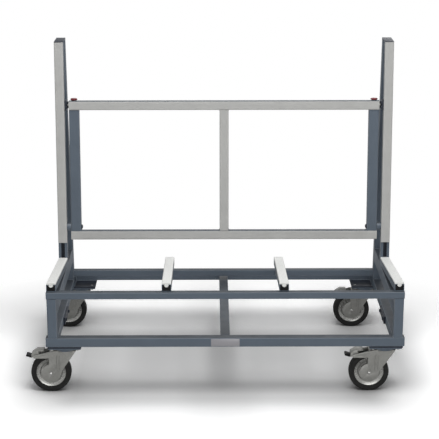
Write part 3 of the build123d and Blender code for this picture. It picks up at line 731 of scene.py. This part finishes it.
# directions of the leaning back, from the record's own rests
rests = {mount["name"]: Vector(mount["axis"]) for mount in frame["record"]["mounts"]}
upDir = rests["slab_seat"]
backDir = -rests["slab_back"]
acrossDir = Vector((1, 0, 0))
pivot = Vector(joints["back_fold"]["pos_m"])
pivotBack = 21
pivotUp = 140


# a place by millimetres across, back and up from the corner of the slab
def leaning(x, back, up):
    level = Vector((middle + x * mm, pivot.y, pivot.z))
    return level + backDir * (back - pivotBack) * mm + upDir * (up - pivotUp) * mm


backJoins = {"x": (-641, -20, 20, 641), "up": (124, 667), "from": 9, "to": 33}
backPaths = []
for x in backJoins["x"]:
    for up in backJoins["up"]:
        backPaths.append([leaning(x, backJoins["from"], up), leaning(x, backJoins["to"], up)])
beads("back_welds", backPaths, "back_frame")


# strips with a soft crown and fine grooves along them, on the channels' own slots
strip = {
    "edge": [(20, 6), (20, 3.6), (19.4, 2.3), (18, 1.1), (15.8, 0.3), (13.4, 0)],
    "grooves": (10.4, 5.2, 0, -5.2, -10.4), "grooveHalf": 1.0, "grooveFloor": 0.5, "grooveDepth": 0.5,
    "neck": 7.7, "foot": 9.5, "footDepth": 8.8, "footSteps": 10,
    "supportX": 245, "outerX": 725, "supportStart": -489.6, "supportEnd": 6, "middleEnd": 20,
    "uprightStart": 69.5, "barHalf": 686, "lowBar": 104, "topBar": 687, "barHalfHeight": 20, "barLip": 17.4,
    "gap": 0.3, "smooth": 28, "mostCorners": 4,
}


# angles of a half circle in even steps
def halfTurn(steps):
    return [math.pi * step / steps for step in range(steps + 1)]


def stripOutline(look):
    outline = list(look["edge"])
    for middleLine in look["grooves"]:
        outline += [(middleLine + look["grooveHalf"], 0), (middleLine + look["grooveFloor"], look["grooveDepth"]),
                    (middleLine - look["grooveFloor"], look["grooveDepth"]), (middleLine - look["grooveHalf"], 0)]
    outline += [(-side, depth) for side, depth in reversed(look["edge"])]
    outline += [(-look["neck"], look["edge"][0][1]), (-look["neck"], look["footDepth"])]
    for angle in halfTurn(look["footSteps"]):
        outline.append((-look["foot"] * math.cos(angle), look["footDepth"] + look["foot"] * math.sin(angle)))
    return outline + [(look["neck"], look["footDepth"]), (look["neck"], look["edge"][0][1])]


# straight runs of an outline: across and into the channel at the start, along to the end or to a level cut
def runs(name, places):
    points = []
    faces = []
    for start, across, into, along, length, cut, outline in places:
        ring = [start + across * side * mm + into * depth * mm for side, depth in outline]
        far = [point + along * ((cut - point.z) / along.z if cut else length * mm) for point in ring]
        runPoints, runFaces = loft([ring, far], len(points))
        points += runPoints
        faces += runFaces
    return closedMesh(name, points, faces, strip["smooth"], mostCorners=strip["mostCorners"])


stripShape = stripOutline(strip)
supportPlaces = []
for x, end in ((strip["outerX"], strip["supportEnd"]), (strip["supportX"], strip["middleEnd"])):
    for hand in (-1, 1):
        supportPlaces.append((leaning(hand * x, strip["supportStart"], 0), acrossDir, -upDir, backDir,
                              end - strip["supportStart"], None, stripShape))
addPiece("ribbed_support_strips", runs("ribbed_support_strips", supportPlaces), "frame", "support_pad",
         ["support_strips"])
uprightPlaces = []
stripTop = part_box("upright_strips")[1].z
for hand in (-1, 1):
    uprightPlaces.append((leaning(hand * strip["outerX"], 0, strip["uprightStart"]), acrossDir, backDir, upDir, 0,
                          stripTop, stripShape))
addPiece("ribbed_upright_strips", runs("ribbed_upright_strips", uprightPlaces), "frame", "back_pad",
         ["upright_strips"])
barStart = strip["lowBar"] + strip["barHalfHeight"] + strip["gap"]
barEnd = strip["topBar"] - strip["barHalfHeight"] - strip["gap"]
backPlaces = [(leaning(0, 0, barStart), acrossDir, backDir, upDir, barEnd - barStart, None, stripShape)]
# the painted lip of the bars shows above their strips
barShape = [(max(across, -strip["barLip"]), depth) for across, depth in stripShape]
for up in (strip["lowBar"], strip["topBar"]):
    backPlaces.append((leaning(-strip["barHalf"], 0, up), -upDir, backDir, acrossDir, 2 * strip["barHalf"], None,
                       barShape))
addPiece("ribbed_back_strips", runs("ribbed_back_strips", backPlaces), "back_frame", "back_pad", ["back_strips"])

# dark liners inside the uprights below their strips: painted shade in the deep channels
slotShade = {"outline": [(-17.4, 8.7), (-17.4, 33.4), (17.4, 33.4), (17.4, 8.7),
                          (17, 8.7), (17, 33), (-17, 33), (-17, 8.7)], "foot": 0.5}
slotShadePlaces = []
for hand in (-1, 1):
    slotShadePlaces.append((leaning(hand * strip["outerX"], 0, strip["uprightStart"]), acrossDir, backDir, -upDir, 0,
                       sideTop + slotShade["foot"] * mm, slotShade["outline"]))
addPiece("bare_insides", runs("bare_insides", slotShadePlaces), "frame", "plate_paint")
print("strips run:", len(supportPlaces) + len(uprightPlaces) + len(backPlaces))


# ribs across the brake pads
padRib = {"length": 28, "width": 2.0, "height": 1.0, "sunk": 0.2, "endRun": 1, "endSize": 0.6, "arc": 8,
          "rows": (5, 8.5, 12, 15.5, 19), "tilt": 18, "root": (-31.5, -6.5), "half": 4.5}


def ribShape(look):
    end = look["length"] / 2
    inside = end - look["endRun"]
    rings = []
    for y, size in ((-end, look["endSize"]), (-inside, 1), (inside, 1), (end, look["endSize"])):
        rings.append([Vector((math.cos(angle) * look["width"] / 2 * size, y,
                              math.sin(angle) * look["height"] * size - look["sunk"])) * mm
                      for angle in halfTurn(look["arc"])])
    return bpy.data.objects.new("padRib", closedMesh("padRib", *loft(rings)))


tilt = math.radians(padRib["tilt"])
outWay = Vector((-math.cos(tilt), 0, math.sin(tilt)))
topWay = Vector((math.sin(tilt), 0, math.cos(tilt)))
oneRib = ribShape(padRib)
for corner in corners:
    root = Vector(joints["brake_" + corner]["pos_m"]) + Vector((padRib["root"][0], 0, padRib["root"][1])) * mm
    spots = [(root + outWay * row * mm + topWay * padRib["half"] * mm, topWay) for row in padRib["rows"]]
    ribs = onSpots("pad_ribs_" + corner, spots, oneRib, "black_plastic", turnMost=0)
    addPiece("pad_ribs_" + corner, ribs, "pedal_" + corner, "black_plastic")
print("pads ribbed")


# lobed knobs of the lock bolts
knob = {"outline": [(0, 0), (11, 0), (13.2, 0.6), (15.4, 2.2), (16, 4.2), (15.6, 6.2), (14, 7.9), (11.5, 8.8), (8, 9),
                    (5, 8.8), (0, 8.7)],
        "lobes": 6, "lobeDepth": 0.05, "lobeFull": 14, "lobeRise": 3, "steps": 96,
        "x": 664.5, "back": 27.25, "up": 708.5}


# lobes that grow towards the rim
def lobes(angle, radius):
    edge = min(1, radius / knob["lobeFull"]) ** knob["lobeRise"]
    return 1 - knob["lobeDepth"] * edge * (1 - math.cos(knob["lobes"] * angle)) / 2


for hand, side in (("left", -1), ("right", 1)):
    place = leaning(side * knob["x"], knob["back"], knob["up"])
    mesh = turned("knob_" + hand, knob["outline"], place, upDir, knob["steps"], lobes)
    addPiece("star_knob_" + hand, mesh, "lock_" + hand, "knob_red", ["lock_knob_" + hand])


# pressed covers over the swivel races, and domes on the ends of the pivot pins
raceCover = {"outline": [(30.4, 0.2), (40.4, 0.2), (41.6, 1.4), (41, 6), (38, 13.5), (35, 16.2), (30.4, 16.6)],
             "steps": 72}
# the covers take the frame paint: partly their own colour, partly painted shade in the band under the mounting plates
for corner in corners:
    place = joints["swivel_" + corner]["pos_m"]
    mesh = turned("race_" + corner, raceCover["outline"], place, (0, 0, 1), raceCover["steps"])
    addPiece("race_cover_" + corner, mesh, "caster_" + corner, "frame_paint")
pinDome = {"outline": [(0, 6.2), (5, 5.8), (8, 4.4), (9.6, 2), (10, 0.3), (9.4, 0), (0, 0)], "x": 640.4, "steps": 48}
for hand, side in (("left", -1), ("right", 1)):
    place = leaning(side * pinDome["x"], pivotBack, pivotUp)
    mesh = turned("dome_" + hand, pinDome["outline"], place, (-side, 0, 0), pinDome["steps"])
    addPiece("pin_dome_" + hand, mesh, "frame", "plate_paint")
print("knobs, covers and domes turned")


# two pressed ridges down each fork leg
legRib = {"lines": (((-26, -20), (-28, -92)), ((-38, -20), (-40, -92))), "half": 2.4, "height": 3.2, "face": 28.5,
          "sunk": 0.3, "endPower": 8, "endLeast": 0.02, "rows": 28, "arc": 10, "smooth": 50}


def pressedRibs(name, swivel, look):
    points = []
    faces = []
    for side, (upper, lower) in [(side, line) for side in (-1, 1) for line in look["lines"]]:
        top = Vector(swivel) + Vector((upper[0], side * look["face"], upper[1])) * mm
        foot = Vector(swivel) + Vector((lower[0], side * look["face"], lower[1])) * mm
        out = Vector((0, side, 0))
        across = (foot - top).normalized().cross(out)
        rings = []
        for row in range(look["rows"] + 1):
            share = row / look["rows"]
            size = math.sqrt(max(look["endLeast"], 1 - abs(2 * share - 1) ** look["endPower"]))
            middleLine = top.lerp(foot, share)
            rings.append([middleLine + across * math.cos(angle) * look["half"] * mm * size
                          + out * (math.sin(angle) * look["height"] * size - look["sunk"]) * mm
                          for angle in halfTurn(look["arc"])])
        ribPoints, ribFaces = loft(rings, len(points))
        points += ribPoints
        faces += ribFaces
    return closedMesh(name, points, faces, look["smooth"])


for corner in corners:
    mesh = pressedRibs("leg_ribs_" + corner, joints["swivel_" + corner]["pos_m"], legRib)
    addPiece("leg_ribs_" + corner, mesh, "caster_" + corner, "zinc")
print("fork ribs pressed")


# floor: painted shadow, greyer under and around the trolley, plain white further out
floorLook = {"size": 60, "bounce": (0.8, 0.8, 0.8), "middle": (0.03, -0.12, 0), "half": (0.62, 0.355, 1), "reach": 0.9,
             "fade": ((0, 0.65), (0.04, 0.73), (0.11, 0.94), (0.17, 1.04), (0.33, 1.2), (0.6, 1.3)),
             "under": ((0, 0.9), (0.1, 0.92), (0.2, 1)),
             "gain": 1.15, "nookReach": 0.32, "nookSamples": 24, "whiteFrom": 0.65, "whiteAt": 1.0}
floorMesh = bpy.data.meshes.new("floor")
half = floorLook["size"] / 2
floorMesh.from_pydata([(-half, -half, 0), (half, -half, 0), (half, half, 0), (-half, half, 0)], [], [(0, 1, 2, 3)])
floor = bpy.data.objects.new("floor", floorMesh)
bpy.context.scene.collection.objects.link(floor)
floorFinish = bpy.data.materials.new("floorFinish")
floorFinish.use_nodes = True
floorTree = floorFinish.node_tree
floorTree.nodes.clear()
floorOut = floorTree.nodes.new("ShaderNodeOutputMaterial")
floorMatt = floorTree.nodes.new("ShaderNodeBsdfDiffuse")
floorWhite = floorTree.nodes.new("ShaderNodeEmission")
floorBlend = floorTree.nodes.new("ShaderNodeMixShader")
# painted contact shade: the floor darkens where ambient occlusion finds the trolley close by
contactShade = floorTree.nodes.new("ShaderNodeAmbientOcclusion")
contactShade.samples = floorLook["nookSamples"]
contactShade.inputs["Distance"].default_value = floorLook["nookReach"]


# one vector node on the floor, fed by sockets or plain tuples
def vectorStep(operation, *values):
    step = floorTree.nodes.new("ShaderNodeVectorMath")
    step.operation = operation
    for socket, value in zip(step.inputs, values):
        if isinstance(value, tuple):
            socket.default_value = value
        else:
            floorTree.links.new(value, socket)
    return step.outputs["Value" if operation == "LENGTH" else "Vector"]


# distance from a box round the trolley's footprint
floorPlace = floorTree.nodes.new("ShaderNodeTexCoord").outputs["Object"]
aside = vectorStep("ABSOLUTE", vectorStep("SUBTRACT", floorPlace, floorLook["middle"]))
beyond = vectorStep("MAXIMUM", vectorStep("SUBTRACT", aside, floorLook["half"]), (0, 0, 0))
farOut = spread(floorTree, vectorStep("LENGTH", beyond), 0, 1, 0, floorLook["reach"])
# painted shadow: the floor's colour greys towards the trolley's footprint
fade = ramp(floorTree, farOut, [(place, (grey * floorLook["gain"],) * 3) for place, grey in floorLook["fade"]])
# painted shadow of the centre rail: a little greyer along the middle, below it
parts = floorTree.nodes.new("ShaderNodeSeparateXYZ")
floorTree.links.new(aside, parts.inputs[0])
under = ramp(floorTree, parts.outputs["X"], [(place, (grey,) * 3) for place, grey in floorLook["under"]])
shaded = mixColour(floorTree, contactShade.outputs["AO"], (0, 0, 0), vectorStep("MULTIPLY", fade, under))
floorSeen = seenRays(floorTree)
floorTree.links.new(mixColour(floorTree, floorSeen, floorLook["bounce"], shaded), floorMatt.inputs["Color"])
whiter = spread(floorTree, farOut, 0, 1, floorLook["whiteFrom"], floorLook["whiteAt"])
floorTree.links.new(mathStep(floorTree, "MULTIPLY", whiter, floorSeen), floorBlend.inputs[0])
floorTree.links.new(floorMatt.outputs[0], floorBlend.inputs[1])
floorTree.links.new(floorWhite.outputs[0], floorBlend.inputs[2])
floorTree.links.new(floorBlend.outputs[0], floorOut.inputs[0])
floorMesh.materials.append(floorFinish)
